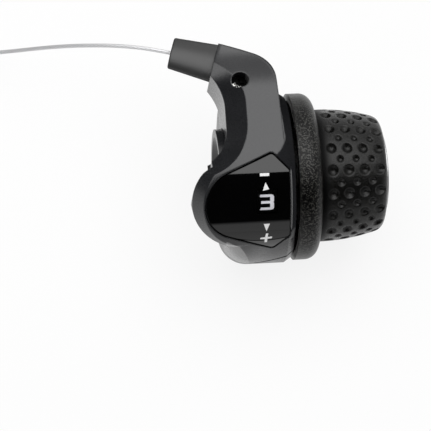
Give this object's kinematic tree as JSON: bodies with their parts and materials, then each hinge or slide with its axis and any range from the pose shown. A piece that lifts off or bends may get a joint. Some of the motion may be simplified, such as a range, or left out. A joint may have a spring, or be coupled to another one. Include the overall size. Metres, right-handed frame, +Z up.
{
  "type": "twist grip shifter",
  "caption": "Bicycle twist grip shifter: dimpled rubber grip and ring that turn on a clamped sleeve, dark gear window, cranked arm and a thin inner wire with its coil.",
  "frame": {"origin": "on the handlebar's axis, at the place along it where the gear window's middle lies", "axes": "+X along the bar towards its end and the grip, +Y forwards to the arm's end, +Z up"},
  "size_m": [0.1553, 0.0788, 0.0516],
  "materials": {
    "housing_plastic": "satin, fine grain",
    "ring_plastic": "speckled grain",
    "lens": "polished",
    "mask": "matt",
    "steel": "zinc plated",
    "zinc": "cast",
    "acetal": "smooth",
    "wire": "stranded",
    "tie": "smooth",
    "grip_rubber": "matt, dimpled"
  },
  "bodies": {
    "housing": {"base_housing": "housing_plastic", "top_cover": "housing_plastic", "arm_plate": "housing_plastic", "cable_outlet": "housing_plastic", "window_lens": "lens", "window_mask": "mask", "cover_screw": "steel", "base_screw": "steel", "clamp_bolt": "steel", "clamp_nut": "steel", "click_spring": "steel", "spring_rivet": "steel", "end_washer": "steel", "retaining_ring": "steel", "thrust_washer": "acetal", "cable_guide": "acetal", "inner_wire_guided": "wire", "inner_wire_free": "wire", "inner_wire_coil": "wire", "coil_ties": "tie"},
    "grip": {"twist_drum": "ring_plastic", "grip_sleeve": "grip_rubber", "gear_indicator": "mask", "cable_nipple": "zinc", "inner_wire_wound": "wire"}
  },
  "joints": [
    {"name": "grip_twist", "type": "hinge", "parent": "housing", "child": "grip", "pos_m": [0, 0, 0], "axis": [-1, 0, 0], "range_deg": [0, 60]}
  ]
}
